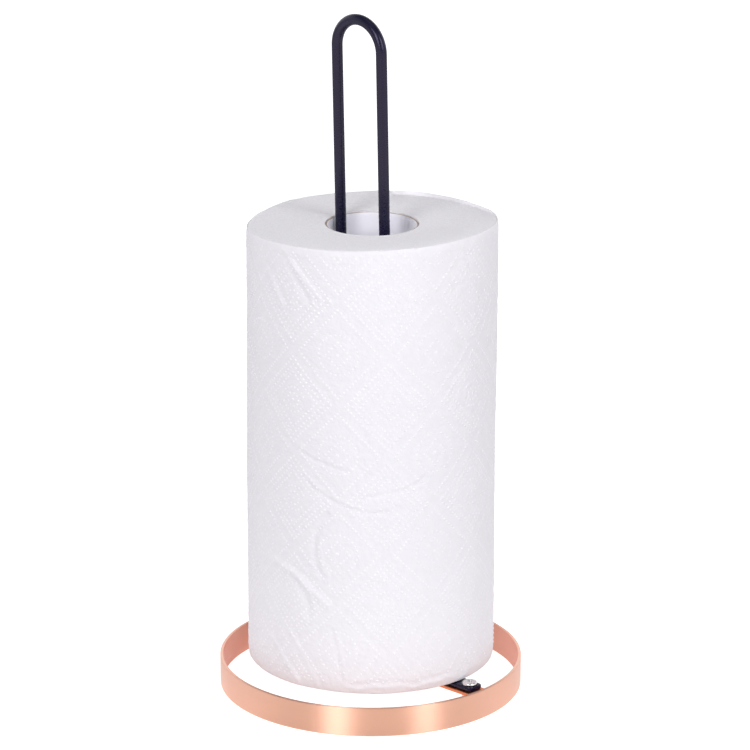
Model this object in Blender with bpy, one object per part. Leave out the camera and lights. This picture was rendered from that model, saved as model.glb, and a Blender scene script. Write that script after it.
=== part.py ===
"""Paper towel holder: a wire post on a ring base, carrying a roll of kitchen paper.

Metres, +Z up. The origin is the middle of the base ring, on the table. The cross bar lies in the ring at
BAR_ANGLE from +X; the post's feet lie along it, one towards the front right and one towards the back left.
"""
import math

import bmesh
import bpy
from mathutils import Matrix, Vector

# Gap left between two pieces that touch
FIT_GAP = 0.0003

# Base ring: flat strip rolled on edge, its ends butt welded
RING_OUTER_RADIUS = 0.080
RING_HEIGHT = 0.0155
RING_WALL = 0.0017
RING_EDGE_ROUND = 0.0005
RING_SEGMENTS = 96
RING_EDGE_STEPS = 2

# Cross bar: flat strip welded across the ring, its top a little below the rim
BAR_DROP = 0.0014
BAR_WIDTH = 0.012
BAR_THICKNESS = 0.0017
BAR_EDGE_ROUND = 0.0003
BAR_ANGLE = math.radians(-43.5)
BAR_END_STEPS = 6

# Post: one round wire bent to a hairpin, both ends pressed flat and drilled
WIRE_DIAMETER = 0.0057
CORE_TO_POST = 0.0048
POST_HEIGHT = 0.3615
POST_LEAN = math.radians(1.2)
FOOT_BEND_RADIUS = 0.008
PADDLE_WIDTH = 0.0098
PADDLE_THICKNESS = 0.0024
PADDLE_LENGTH = 0.0145
PADDLE_CORNER_RADIUS = 0.0022
PADDLE_EDGE_ROUND = 0.0009
PADDLE_TO_RING = 0.0024
FLARE_LENGTH = 0.009
WIRE_SIDES = 16
ARCH_STEPS = 12
LEG_STEPS = 4
BEND_STEPS = 6
FLARE_STEPS = 6
CORNER_STEPS = 5
CORNER_TURN = math.radians(80)

# Screws and nuts that hold the feet to the cross bar
SCREW_DIAMETER = 0.004
SCREW_HOLE_CLEARANCE = 0.0003
SCREW_EDGE_DISTANCE = 0.0048
SCREW_HEAD_DIAMETER = 0.008
SCREW_HEAD_HEIGHT = 0.0014
SCREW_HEAD_ROUND = 0.0008
SCREW_HEAD_DOME = 0.0002
SCREW_TIP_CHAMFER = 0.0005
SCREW_PAST_NUT = 0.001
RECESS_SPAN = 0.0042
RECESS_WING = 0.001
RECESS_DEPTH = 0.0011
RECESS_TAPER = 0.5
ROUND_SIDES = 24
NUT_ACROSS_FLATS = 0.007
NUT_HEIGHT = 0.0032
NUT_CHAMFER = 0.0004

# Paper roll: a cardboard core and the paper wound on it
CORE_BORE_RADIUS = 0.0232
CORE_WALL = 0.0008
CORE_RECESS = 0.0004
ROLL_RADIUS = 0.0652
ROLL_HEIGHT = 0.2314
ROLL_EDGE_ROUND = 0.0022
ROLL_EDGE_STEPS = 3
ROLL_SEGMENTS = 72

# Heights, radii and the post's width, which follow from the sizes above
ring_inner_radius = RING_OUTER_RADIUS - RING_WALL
bar_top = RING_HEIGHT - BAR_DROP
bar_bottom = bar_top - BAR_THICKNESS
foot_bottom = bar_top + FIT_GAP
foot_centre = foot_bottom + WIRE_DIAMETER / 2
paddle_top = foot_bottom + PADDLE_THICKNESS
paddle_end = ring_inner_radius - PADDLE_TO_RING
screw_radius = paddle_end - SCREW_EDGE_DISTANCE
nut_top = bar_bottom - FIT_GAP
nut_bottom = nut_top - NUT_HEIGHT
roll_bottom = foot_bottom + WIRE_DIAMETER + FIT_GAP
core_outer_radius = CORE_BORE_RADIUS + CORE_WALL
leg_spacing = 2 * (CORE_BORE_RADIUS - CORE_TO_POST) - WIRE_DIAMETER
hole_radius = SCREW_DIAMETER / 2 + SCREW_HOLE_CLEARANCE


def clear_scene():
    """Remove every object that the scene starts with."""
    for obj in list(bpy.data.objects):
        bpy.data.objects.remove(obj, do_unlink=True)


def make_material(name, colour, roughness, metallic):
    """A Principled material with one colour and finish."""
    material = bpy.data.materials.new(name)
    material.use_nodes = True
    shader = material.node_tree.nodes["Principled BSDF"]
    shader.inputs["Base Color"].default_value = (*colour, 1.0)
    shader.inputs["Roughness"].default_value = roughness
    shader.inputs["Metallic"].default_value = metallic
    material.diffuse_color = (*colour, 1.0)
    return material


def mesh_from(bm, name):
    """Close a bmesh into a mesh with its faces out and its round sides smooth."""
    bmesh.ops.recalc_face_normals(bm, faces=bm.faces[:])
    mesh = bpy.data.meshes.new(name)
    bm.to_mesh(mesh)
    bm.free()
    mesh.shade_smooth()
    mesh.set_sharp_from_angle(angle=math.radians(35))
    return mesh


def place(name, mesh, material, parent, location=(0, 0, 0), turn=0.0):
    """Put a mesh in the scene as a named sub-part, turned about Z."""
    if not mesh.materials:
        mesh.materials.append(material)
    obj = bpy.data.objects.new(name, mesh)
    obj.location = location
    obj.rotation_euler.z = turn
    obj.parent = parent
    bpy.context.collection.objects.link(obj)
    return obj


def make_empty(name, location=(0, 0, 0)):
    """An empty that stands on a joint's axis and carries the pieces that move with it."""
    empty = bpy.data.objects.new(name, None)
    empty.location = location
    bpy.context.collection.objects.link(empty)
    return empty


def arc(centre, radius, start, end, steps):
    """Points of an arc in two dimensions, from the start angle to the end angle in degrees."""
    angles = [math.radians(start + (end - start) * i / steps) for i in range(steps + 1)]
    return [(centre[0] + radius * math.cos(a), centre[1] + radius * math.sin(a)) for a in angles]


def spun(profile, segments, name):
    """Turn a closed outline of (radius, height) points about Z."""
    bm = bmesh.new()
    verts = [bm.verts.new((r, 0.0, z)) for r, z in profile]
    edges = [bm.edges.new((verts[i - 1], verts[i])) for i in range(len(verts))]
    bmesh.ops.spin(bm, geom=verts + edges, cent=(0, 0, 0), axis=(0, 0, 1), angle=2 * math.pi,
                   steps=segments, use_merge=True)
    bmesh.ops.remove_doubles(bm, verts=bm.verts[:], dist=1e-6)
    return mesh_from(bm, name)


def rounded_section(inner, outer, bottom, top, inner_round, outer_round, steps):
    """The outline of a ring's wall with its inner and outer edges rounded by their own radii."""
    points = []
    corners = ((outer, top, outer_round, 90), (outer, bottom, outer_round, 0),
               (inner, bottom, inner_round, -90), (inner, top, inner_round, -180))
    for radius, height, round_off, start in corners:
        if round_off == 0:
            points.append((radius, height))
            continue
        side = 1 if radius == outer else -1
        level = 1 if height == top else -1
        centre = (radius - side * round_off, height - level * round_off)
        points += arc(centre, round_off, start, start - 90, steps)
    return points


def make_ring(material, parent):
    profile = rounded_section(ring_inner_radius, RING_OUTER_RADIUS, 0.0, RING_HEIGHT,
                              RING_EDGE_ROUND, RING_EDGE_ROUND, RING_EDGE_STEPS)
    return place("base_ring", spun(profile, RING_SEGMENTS, "base_ring"), material, parent)


def cut(obj, cutter):
    """Cut one shape out of another with an exact Boolean."""
    modifier = obj.modifiers.new("cut_" + cutter.name, "BOOLEAN")
    modifier.operation = "DIFFERENCE"
    modifier.solver = "EXACT"
    modifier.object = cutter


def make_cutter(name, mesh, parent, location):
    """A shape that only cuts others."""
    cutter = bpy.data.objects.new(name, mesh)
    cutter.location = location
    cutter.parent = parent
    cutter.display_type = "WIRE"
    cutter.hide_render = True
    bpy.context.collection.objects.link(cutter)
    return cutter


def screw_place(label, height):
    """Where the screw of the front or the back foot stands, at a height."""
    reach = screw_radius if label == "front" else -screw_radius
    return (reach * math.cos(BAR_ANGLE), reach * math.sin(BAR_ANGLE), height)


def make_drills(parent):
    """Two upright drills, one at each screw, that pass through foot, bar and nut."""
    depth = 2 * (paddle_top - nut_bottom)
    drills = {}
    for label in ("front", "back"):
        bm = bmesh.new()
        bmesh.ops.create_cone(bm, cap_ends=True, segments=ROUND_SIDES, radius1=hole_radius,
                              radius2=hole_radius, depth=depth)
        name = "drill_" + label
        centre = screw_place(label, (paddle_top + nut_bottom) / 2)
        drills[label] = make_cutter(name, mesh_from(bm, name), parent, centre)
    return drills


def make_bar(material, parent, drills):
    """The bar's ends are cut to the ring's inner curve, a weld gap short of it."""
    reach = ring_inner_radius - FIT_GAP
    half = BAR_WIDTH / 2
    swing = math.degrees(math.asin(half / reach))
    outline = arc((0, 0), reach, -swing, swing, BAR_END_STEPS)
    outline += arc((0, 0), reach, 180 - swing, 180 + swing, BAR_END_STEPS)
    bm = bmesh.new()
    face = bm.faces.new([bm.verts.new((x, y, bar_bottom)) for x, y in outline])
    raised = bmesh.ops.extrude_face_region(bm, geom=[face])["geom"]
    top = [g for g in raised if isinstance(g, bmesh.types.BMVert)]
    bmesh.ops.translate(bm, verts=top, vec=(0, 0, BAR_THICKNESS))
    bmesh.ops.recalc_face_normals(bm, faces=bm.faces[:])
    rims = [e for e in bm.edges if e.calc_face_angle() > math.radians(60)]
    bmesh.ops.bevel(bm, geom=rims, offset=BAR_EDGE_ROUND, offset_type="OFFSET", segments=2, profile=0.5,
                    affect="EDGES", material=-1)
    bar = place("cross_bar", mesh_from(bm, "cross_bar"), material, parent, turn=BAR_ANGLE)
    for drill in drills.values():
        cut(bar, drill)
    return bar


def smooth_step(t):
    t = min(max(t, 0.0), 1.0)
    return t * t * (3 - 2 * t)


def foot_section(reach):
    """Width, thickness and edge rounding of the wire's foot at a distance from the post's axis."""
    press = smooth_step((reach - (paddle_end - PADDLE_LENGTH - FLARE_LENGTH)) / FLARE_LENGTH)
    width = WIRE_DIAMETER + (PADDLE_WIDTH - WIRE_DIAMETER) * press
    thickness = WIRE_DIAMETER + (PADDLE_THICKNESS - WIRE_DIAMETER) * press
    edge = WIRE_DIAMETER / 2 + (PADDLE_EDGE_ROUND - WIRE_DIAMETER / 2) * press
    into_corner = reach - (paddle_end - PADDLE_CORNER_RADIUS)
    if into_corner > 0:
        width -= 2 * (PADDLE_CORNER_RADIUS - math.sqrt(max(PADDLE_CORNER_RADIUS ** 2 - into_corner ** 2, 0)))
    return width, thickness, edge


def half_post_stations():
    """The wire from the top of the loop down one leg to the end of its foot.

    Each station is (distance along the bar, height, tangent angle, width, thickness, edge rounding).
    """
    round_wire = (WIRE_DIAMETER, WIRE_DIAMETER, WIRE_DIAMETER / 2)
    side = leg_spacing / 2
    arch_centre = POST_HEIGHT - WIRE_DIAMETER / 2 - side
    bend_centre = foot_centre + FOOT_BEND_RADIUS
    stations = []
    for i in range(ARCH_STEPS + 1):
        tangent = -math.pi / 2 * i / ARCH_STEPS
        along = -side * math.sin(tangent)
        stations.append((along, arch_centre + side * math.cos(tangent), tangent, *round_wire))
    for i in range(1, LEG_STEPS):
        height = arch_centre + (bend_centre - arch_centre) * i / LEG_STEPS
        stations.append((side, height, -math.pi / 2, *round_wire))
    for i in range(BEND_STEPS + 1):
        tangent = -math.pi / 2 * (1 - i / BEND_STEPS)
        along = side + FOOT_BEND_RADIUS * (1 + math.sin(tangent))
        stations.append((along, bend_centre - FOOT_BEND_RADIUS * math.cos(tangent), tangent, *round_wire))
    flare_start = paddle_end - PADDLE_LENGTH - FLARE_LENGTH
    reaches = [flare_start + FLARE_LENGTH * i / FLARE_STEPS for i in range(FLARE_STEPS + 1)]
    corner_start = paddle_end - PADDLE_CORNER_RADIUS
    for i in range(CORNER_STEPS + 1):
        reaches.append(corner_start + PADDLE_CORNER_RADIUS * math.sin(CORNER_TURN * i / CORNER_STEPS))
    for reach in reaches:
        width, thickness, edge = foot_section(reach)
        stations.append((reach, foot_bottom + thickness / 2, 0.0, width, thickness, edge))
    return stations


def section_ring(bm, station):
    """A closed ring of vertices round the wire at one station; the round wire is its edge radius alone."""
    along, height, tangent, width, thickness, edge = station
    up = Vector((-math.sin(tangent), 0, math.cos(tangent)))
    across = Vector((0, 1, 0))
    centre = Vector((along, 0, height))
    verts = []
    for i in range(WIRE_SIDES):
        angle = 2 * math.pi * (i + 0.5) / WIRE_SIDES
        sideways = math.copysign(width / 2 - edge, math.cos(angle)) + edge * math.cos(angle)
        upwards = math.copysign(thickness / 2 - edge, math.sin(angle)) + edge * math.sin(angle)
        verts.append(bm.verts.new(centre + across * sideways + up * upwards))
    return [bm.edges.new((verts[i - 1], verts[i])) for i in range(WIRE_SIDES)]


def make_post(material, parent, drills):
    half = half_post_stations()
    other_half = [(-a, z, -t, w, h, e) for a, z, t, w, h, e in reversed(half[1:])]
    bm = bmesh.new()
    rings = [section_ring(bm, station) for station in other_half + half]
    for first, second in zip(rings, rings[1:]):
        bmesh.ops.bridge_loops(bm, edges=first + second)
    for end in (rings[0], rings[-1]):
        bmesh.ops.contextual_create(bm, geom=end)
    lean_way = Matrix.Rotation(-BAR_ANGLE, 3, "Z") @ Vector((-1, 0, 0))
    for vert in bm.verts:
        vert.co += lean_way * math.tan(POST_LEAN) * max(vert.co.z - foot_centre, 0)
    post = place("post_loop", mesh_from(bm, "post_loop"), material, parent, turn=BAR_ANGLE)
    for drill in drills.values():
        cut(post, drill)
    return post


def turned(profile, segments, name):
    """Turn an open outline that starts and ends on the axis into a solid of revolution."""
    bm = bmesh.new()
    verts = [bm.verts.new((r, 0.0, z)) for r, z in profile]
    edges = [bm.edges.new((verts[i], verts[i + 1])) for i in range(len(verts) - 1)]
    bmesh.ops.spin(bm, geom=verts + edges, cent=(0, 0, 0), axis=(0, 0, 1), angle=2 * math.pi,
                   steps=segments, use_merge=True)
    bmesh.ops.remove_doubles(bm, verts=bm.verts[:], dist=1e-6)
    return mesh_from(bm, name)


def screw_mesh():
    """A pan head with a slightly domed top over a plain shank; the underside of the head is at z = 0."""
    head = SCREW_HEAD_DIAMETER / 2
    shank = SCREW_DIAMETER / 2
    tip = nut_bottom - SCREW_PAST_NUT - (paddle_top + FIT_GAP)
    shoulder = SCREW_HEAD_HEIGHT - SCREW_HEAD_DOME
    profile = [(0, SCREW_HEAD_HEIGHT), (head * 0.4, SCREW_HEAD_HEIGHT - SCREW_HEAD_DOME / 4)]
    profile += arc((head - SCREW_HEAD_ROUND, shoulder - SCREW_HEAD_ROUND), SCREW_HEAD_ROUND, 90, 0, 4)
    profile += [(head, 0), (shank, 0)]
    profile += [(shank, tip + SCREW_TIP_CHAMFER), (shank - SCREW_TIP_CHAMFER, tip), (0, tip)]
    return turned(profile, ROUND_SIDES, "foot_screw")


def recess_mesh():
    """A cross recess: a plus shape that narrows downwards, with the top of the screw's head at z = 0."""
    arm = RECESS_SPAN / 2
    wing = RECESS_WING / 2
    outline = []
    for quarter in range(4):
        c, s = round(math.cos(quarter * math.pi / 2)), round(math.sin(quarter * math.pi / 2))
        outline += [(c * x - s * y, s * x + c * y) for x, y in ((wing, wing), (wing, arm), (-wing, arm))]
    bm = bmesh.new()
    face = bm.faces.new([bm.verts.new((x, y, SCREW_HEAD_HEIGHT)) for x, y in outline])
    pushed = bmesh.ops.extrude_face_region(bm, geom=[face])["geom"]
    for vert in [g for g in pushed if isinstance(g, bmesh.types.BMVert)]:
        vert.co = (vert.co.x * RECESS_TAPER, vert.co.y * RECESS_TAPER, -RECESS_DEPTH)
    return mesh_from(bm, "recess")


def nut_mesh():
    """A hexagon nut before its bore is drilled, with its rims eased; its underside is at z = 0."""
    corner = NUT_ACROSS_FLATS / math.sqrt(3)
    bm = bmesh.new()
    bmesh.ops.create_cone(bm, cap_ends=True, segments=6, radius1=corner, radius2=corner, depth=NUT_HEIGHT)
    bmesh.ops.translate(bm, verts=bm.verts[:], vec=(0, 0, NUT_HEIGHT / 2))
    rims = [e for e in bm.edges if abs(e.verts[0].co.z - e.verts[1].co.z) < NUT_HEIGHT / 2]
    bmesh.ops.bevel(bm, geom=rims, offset=NUT_CHAMFER, offset_type="OFFSET", segments=1, profile=0.5,
                    affect="EDGES", material=-1)
    return mesh_from(bm, "foot_nut")


def make_fasteners(material, parent, drills):
    """A screw down through each foot and the bar, with its nut under the bar."""
    screw = screw_mesh()
    recess = recess_mesh()
    nut = nut_mesh()
    for label, drill in drills.items():
        seat = paddle_top + FIT_GAP
        head_top = seat + SCREW_HEAD_HEIGHT
        screw_obj = place("foot_screw_" + label, screw, material, parent, screw_place(label, seat), BAR_ANGLE)
        cut(screw_obj, make_cutter("recess_" + label, recess, parent, screw_place(label, head_top)))
        nut_obj = place("foot_nut_" + label, nut, material, parent, screw_place(label, nut_bottom), BAR_ANGLE)
        cut(nut_obj, drill)


def make_core(material, parent):
    profile = rounded_section(CORE_BORE_RADIUS, core_outer_radius, CORE_RECESS, ROLL_HEIGHT - CORE_RECESS,
                              0, 0, 1)
    return place("core_tube", spun(profile, ROLL_SEGMENTS, "core_tube"), material, parent)


def make_paper(material, parent):
    profile = rounded_section(core_outer_radius + FIT_GAP, ROLL_RADIUS, 0.0, ROLL_HEIGHT,
                              0, ROLL_EDGE_ROUND, ROLL_EDGE_STEPS)
    return place("paper_roll", spun(profile, ROLL_SEGMENTS, "paper_roll"), material, parent)


clear_scene()

copper = make_material("copper_plate", (0.78, 0.45, 0.32), 0.30, 1.0)
copper_bar = make_material("copper_plate_bar", (0.76, 0.42, 0.29), 0.34, 1.0)
black_paint = make_material("black_paint", (0.018, 0.019, 0.026), 0.42, 0.0)
zinc = make_material("zinc_plate", (0.72, 0.71, 0.72), 0.28, 1.0)
cardboard = make_material("pale_cardboard", (0.72, 0.71, 0.74), 0.85, 0.0)
paper = make_material("kitchen_paper", (0.86, 0.86, 0.87), 0.92, 0.0)

holder = make_empty("holder")
roll_axis = make_empty("roll_axis", (0, 0, roll_bottom))

make_ring(copper, holder)
drills = make_drills(holder)
make_bar(copper_bar, holder, drills)
make_post(black_paint, holder, drills)
make_fasteners(zinc, holder, drills)
make_core(cardboard, roll_axis)
make_paper(paper, roll_axis)
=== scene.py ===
import math

import bmesh
import bpy
import numpy as np
from mathutils import Matrix, Vector


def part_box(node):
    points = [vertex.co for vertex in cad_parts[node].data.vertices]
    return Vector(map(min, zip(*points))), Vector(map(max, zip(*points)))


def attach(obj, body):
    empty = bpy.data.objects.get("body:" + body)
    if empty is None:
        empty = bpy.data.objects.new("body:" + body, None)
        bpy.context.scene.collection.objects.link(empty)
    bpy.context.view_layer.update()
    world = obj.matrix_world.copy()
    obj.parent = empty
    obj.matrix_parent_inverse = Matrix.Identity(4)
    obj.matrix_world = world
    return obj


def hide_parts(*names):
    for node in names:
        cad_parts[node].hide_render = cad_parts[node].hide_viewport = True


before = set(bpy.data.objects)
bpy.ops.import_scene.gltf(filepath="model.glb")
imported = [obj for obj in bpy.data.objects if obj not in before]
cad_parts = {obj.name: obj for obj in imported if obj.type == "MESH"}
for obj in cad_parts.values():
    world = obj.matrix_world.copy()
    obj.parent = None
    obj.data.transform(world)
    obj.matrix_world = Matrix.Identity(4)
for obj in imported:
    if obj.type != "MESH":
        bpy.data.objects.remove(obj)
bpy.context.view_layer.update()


# --- Camera --------------------------------------------------------------------------------------
# A long lens straight in front of the holder and a little above it, aimed at the middle of the roll.

CAMERA_RISE = math.radians(17.62)
CAMERA_DISTANCE = 2.1
CAMERA_AIM = Vector((0.0018, 0.0, 0.1698))
CAMERA_TILT = math.radians(0.2)
CAMERA_LENS = 193.6

camera_data = bpy.data.cameras.new("camera")
camera_data.lens = CAMERA_LENS
camera_data.sensor_width = 36
camera = bpy.data.objects.new("camera", camera_data)
bpy.context.collection.objects.link(camera)
ahead = Vector((0, math.cos(CAMERA_RISE), -math.sin(CAMERA_RISE)))
camera.matrix_world = (Matrix.Translation(CAMERA_AIM - ahead * CAMERA_DISTANCE)
                       @ Matrix.Rotation(math.pi / 2 - CAMERA_RISE, 4, "X")
                       @ Matrix.Rotation(CAMERA_TILT, 4, "Z"))
bpy.context.scene.camera = camera


# --- White table and soft lights -----------------------------------------------------------------
# The holder stands on a white table in a white tent that is brightest at the back, with two upright soft
# boxes in front, left and right. The table glows plain white to the camera. To what mirrors it, it glows as a
# painted reflection, dim and bluish at the back and bright and warm in front, with painted shade inside the
# hoop; to what it lights, it glows near the holder as a painted pool of light.

WHITE = (1, 1, 1, 1)
TABLE_SIZE = 20.0
TABLE_GAP = 0.0002
TABLE_COLOUR = (0.5, 0.49, 0.51, 1)
TABLE_SEEN = 0.97
TABLE_BACK_TO_FRONT = (0.10, -0.12)
TABLE_MIRRORED = (0.38, 1.20)
# Painted shade: the mirrored glow inside the hoop, where the roll shades the table.
TABLE_MIRRORED_SHADED = 0.88
# Painted reflection colours: bluish at the back, warm in front.
TABLE_HUES = ((0.84, 0.88, 1.0, 1), (1.0, 0.88, 0.78, 1))
# Painted pool of light: the glow that near things get from the table under the holder.
TABLE_GLOW = 0.55
GLOW_RADIUS = 0.34
SHADED_RADIUS = 0.079
TENT_FRONT, TENT_BACK, TENT_TOP = 0.44, 1.35, 0.28
TENT_SEEN = 1.1
TENT_COLOUR = (0.98, 0.96, 1.0, 1)
LIGHT_AIM = Vector((0, 0, 0.16))
LIGHT_COLOUR = (0.97, 0.965, 1.0)
SOFT_BOXES = (("front_left", -26, 29, 1.5, (0.42, 0.80), 9.8),
              ("front_right", 44, 29, 1.5, (0.42, 0.80), 7.9),
              ("overhead", 0, 84, 1.6, (0.9, 0.9), 1.2))

scene = bpy.context.scene
scene.view_settings.view_transform = "Standard"


def add_node(tree, kind, settings=None, **sockets):
    """A node with its settings, and its named sockets given a value or linked to another's output."""
    node = tree.nodes.new(kind)
    for setting, value in (settings or {}).items():
        setattr(node, setting, value)
    for label, value in sockets.items():
        plug_in(tree, node.inputs[label.replace("_", " ")], value)
    return node


def plug_in(tree, socket, value):
    if isinstance(value, bpy.types.NodeSocket):
        tree.links.new(value, socket)
    else:
        socket.default_value = value


def do_math(tree, operation, first, second=0.0):
    node = tree.nodes.new("ShaderNodeMath")
    node.operation = operation
    plug_in(tree, node.inputs[0], first)
    plug_in(tree, node.inputs[1], second)
    return node.outputs[0]


def map_range(tree, value, low, high, to_low, to_high):
    node = add_node(tree, "ShaderNodeMapRange", Value=value, From_Min=low, From_Max=high,
                    To_Min=to_low, To_Max=to_high)
    return node.outputs["Result"]


def mix_colours(tree, share, first, second):
    mix = add_node(tree, "ShaderNodeMix", {"data_type": "RGBA"})
    for socket, value in zip((mix.inputs["Factor"], mix.inputs[6], mix.inputs[7]), (share, first, second)):
        plug_in(tree, socket, value)
    return mix.outputs[2]


def start_material(name, metallic=0.0, **constants):
    """A material with its node tree, its Principled shader and its Object coordinates."""
    material = bpy.data.materials.new(name)
    material.use_nodes = True
    tree = material.node_tree
    shader = tree.nodes["Principled BSDF"]
    shader.inputs["Metallic"].default_value = metallic
    for label, value in constants.items():
        shader.inputs[label.replace("_", " ")].default_value = value
    return material, tree, shader, tree.nodes.new("ShaderNodeTexCoord").outputs["Object"]


def move(bm, offset):
    bmesh.ops.translate(bm, verts=bm.verts[:], vec=offset)


world = bpy.data.worlds.new("white_tent")
world.use_nodes = True
scene.world = world
tent = world.node_tree
tent.nodes.clear()
towards = add_node(tent, "ShaderNodeSeparateXYZ",
                   Vector=tent.nodes.new("ShaderNodeTexCoord").outputs["Generated"]).outputs
low_light = map_range(tent, towards["Y"], -0.6, 0.3, TENT_FRONT, TENT_BACK)
tent_light = map_range(tent, towards["Z"], 0.35, 0.75, low_light, TENT_TOP)
either = tent.nodes.new("ShaderNodeMixShader")
cast = add_node(tent, "ShaderNodeBackground", Color=TENT_COLOUR, Strength=tent_light)
seen = add_node(tent, "ShaderNodeBackground", Color=WHITE, Strength=TENT_SEEN)
rays = tent.nodes.new("ShaderNodeLightPath")
for socket, value in zip(either.inputs, (rays.outputs["Is Camera Ray"], cast.outputs[0], seen.outputs[0])):
    plug_in(tent, socket, value)
add_node(tent, "ShaderNodeOutputWorld", Surface=either.outputs[0])

for name, turn, rise, distance, size, power in SOFT_BOXES:
    light = bpy.data.lights.new(name, "AREA")
    light.shape = "RECTANGLE"
    light.size, light.size_y = size
    light.energy = power
    light.color = LIGHT_COLOUR
    lamp = bpy.data.objects.new(name, light)
    bpy.context.collection.objects.link(lamp)
    turn, rise = math.radians(turn), math.radians(rise)
    back = Vector((math.sin(turn) * math.cos(rise), -math.cos(turn) * math.cos(rise), math.sin(rise)))
    lamp.location = LIGHT_AIM + back * distance
    lamp.rotation_euler = back.to_track_quat("Z", "Y").to_euler()

bm = bmesh.new()
bmesh.ops.create_grid(bm, x_segments=1, y_segments=1, size=TABLE_SIZE / 2)
move(bm, (0, 0, -TABLE_GAP))
table_mesh = bpy.data.meshes.new("table")
bm.to_mesh(table_mesh)
bm.free()
table = bpy.data.objects.new("table", table_mesh)
bpy.context.collection.objects.link(table)
table_top, tree, shader, spot = start_material("white_table", Base_Color=TABLE_COLOUR, Roughness=0.8,
                                               Specular_IOR_Level=0.1)
flat = add_node(tree, "ShaderNodeVectorMath", {"operation": "LENGTH"})
plug_in(tree, flat.inputs[0], spot)
distance = flat.outputs["Value"]
nearness = map_range(tree, add_node(tree, "ShaderNodeSeparateXYZ", Vector=spot).outputs["Y"],
                     *TABLE_BACK_TO_FRONT, 0.0, 1.0)
# Painted reflection: what mirrors the open table sees it brighter in front.
open_table = map_range(tree, nearness, 0.0, 1.0, *TABLE_MIRRORED)
# Painted shade: what mirrors the table inside the hoop sees it dimmer.
mirrored = map_range(tree, distance, SHADED_RADIUS, SHADED_RADIUS + 0.01, TABLE_MIRRORED_SHADED, open_table)
# Painted pool of light round the holder, for diffuse rays.
glowing = map_range(tree, distance, 0.0, GLOW_RADIUS, TABLE_GLOW, 0.0)
rays = tree.nodes.new("ShaderNodeLightPath").outputs
glow = 0.0
for ray, amount in (("Is Camera Ray", TABLE_SEEN), ("Is Glossy Ray", mirrored), ("Is Diffuse Ray", glowing)):
    glow = do_math(tree, "ADD", do_math(tree, "MULTIPLY", rays[ray], amount), glow)
plug_in(tree, shader.inputs["Emission Strength"], glow)
# Painted reflection colour, for glossy rays only.
hue = mix_colours(tree, rays["Is Glossy Ray"], WHITE, mix_colours(tree, nearness, *TABLE_HUES))
plug_in(tree, shader.inputs["Emission Color"], hue)
table_mesh.materials.append(table_top)


# --- Base ring -----------------------------------------------------------------------------------
# A flat steel strip rolled on edge into a hoop, its ends butt welded and ground flush, then plated in
# satin copper. The brushing runs round the hoop; the weld shows as a fine line and a bead inside.

RING_WALL = 0.0017
RING_EDGE_ROUND = 0.0003
RING_ROWS = 16
RING_SEAM = math.radians(-21)
SEAM_ZONE = math.radians(6)
SEAM_STEPS = 30
RING_STEPS = 320
SEAM_LINE_WIDTH = 0.00035
SEAM_LINE_DEPTH = 0.00002
SEAM_NOTCH = 0.00016
SEAM_BEAD_WIDTH = 0.0011
SEAM_BEAD_HEIGHT = 0.00022
COPPER = (0.87, 0.53, 0.392, 1)
# Painted shade: the inner face's darker, redder copper stands in for the shade inside the hoop and copper
# mirrored in copper.
COPPER_INSIDE_SHADE = (0.86, 0.43, 0.31, 1)
COPPER_ROUGHNESS = (0.43, 0.48)
COPPER_BRUSHING = 9000.0
BRUSH_STROKE = 30.0
BRUSH_DEPTH = 0.000006

ring_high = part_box("base_ring")[1]
ring_radius = ring_high.x
ring_inner = ring_radius - RING_WALL
ring_top = ring_high.z


def start_group(name, takes, gives):
    """A shader node group with named sockets: (tree, what comes in, what goes out)."""
    tree = bpy.data.node_groups.new(name, "ShaderNodeTree")
    for label, kind, value in takes:
        socket = tree.interface.new_socket(name=label, in_out="INPUT", socket_type=kind)
        if value is not None:
            socket.default_value = value
    for label, kind in gives:
        tree.interface.new_socket(name=label, in_out="OUTPUT", socket_type=kind)
    return tree, tree.nodes.new("NodeGroupInput").outputs, tree.nodes.new("NodeGroupOutput").inputs


def noise(tree, vector, scale, detail=2.0):
    node = add_node(tree, "ShaderNodeTexNoise", Vector=vector, Scale=scale, Detail=detail)
    return node.outputs["Fac"]


def use_group(tree, group, output, **sockets):
    """Place a node group in a material and give back one of its outputs."""
    return add_node(tree, "ShaderNodeGroup", {"node_tree": group}, **sockets).outputs[output]


# Position as (turn about Z, distance from Z, height), for patterns that follow a round piece
round_group, comes, goes = start_group(
    "round_coordinates", [("Vector", "NodeSocketVector", None)],
    [("Turn", "NodeSocketFloat"), ("Radius", "NodeSocketFloat"), ("Height", "NodeSocketFloat")])
parts = add_node(round_group, "ShaderNodeSeparateXYZ", Vector=comes["Vector"]).outputs
squares = [do_math(round_group, "MULTIPLY", parts[axis], parts[axis]) for axis in ("X", "Y")]
plug_in(round_group, goes["Turn"],
        do_math(round_group, "ARCTAN2", parts["X"], do_math(round_group, "MULTIPLY", parts["Y"], -1.0)))
plug_in(round_group, goes["Radius"], do_math(round_group, "SQRT", do_math(round_group, "ADD", *squares)))
plug_in(round_group, goes["Height"], parts["Z"])

# Fine lines that run round the Z axis, as a brush leaves them on a turned or rolled piece
brushed_group, comes, goes = start_group(
    "brushed_round", [("Vector", "NodeSocketVector", None), ("Lines", "NodeSocketFloat", 9000.0),
                      ("Stroke", "NodeSocketFloat", 30.0)], [("Value", "NodeSocketFloat")])
rounds = add_node(brushed_group, "ShaderNodeGroup", {"node_tree": round_group},
                  Vector=comes["Vector"]).outputs
stretched = add_node(
    brushed_group, "ShaderNodeCombineXYZ",
    X=do_math(brushed_group, "MULTIPLY", rounds["Radius"], comes["Lines"]),
    Y=do_math(brushed_group, "MULTIPLY", rounds["Height"], comes["Lines"]),
    Z=do_math(brushed_group, "MULTIPLY", rounds["Turn"], comes["Stroke"])).outputs[0]
plug_in(brushed_group, goes["Value"], noise(brushed_group, stretched, 1.0, 3.0))

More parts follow.
